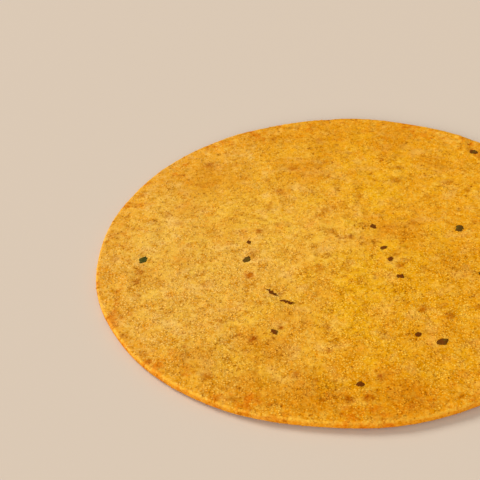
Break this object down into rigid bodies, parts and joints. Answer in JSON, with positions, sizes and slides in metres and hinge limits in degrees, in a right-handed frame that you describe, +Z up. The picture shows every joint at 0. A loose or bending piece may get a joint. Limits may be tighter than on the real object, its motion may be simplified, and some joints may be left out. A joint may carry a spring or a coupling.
{
  "type": "khakhra",
  "caption": "Thin round crisp roasted flatbread with a lightly blistered face, uneven hand-rolled rim and flakes of dried leaf baked in.",
  "frame": {"origin": "under the middle of the disc, on the surface that it rests on", "axes": "+Z up through the bread's thickness; -Y is the edge nearest the viewer in the picture, +X to the viewer's right"},
  "size_m": [0.1498, 0.1499, 0.0029],
  "materials": {
    "crust": "dry roasted crust with a faint sheen of oil, golden yellow with browner spots",
    "leaf": "dry, dark olive dried fenugreek leaf"
  },
  "bodies": {
    "root": {"khakhra": "crust"}
  },
  "joints": []
}
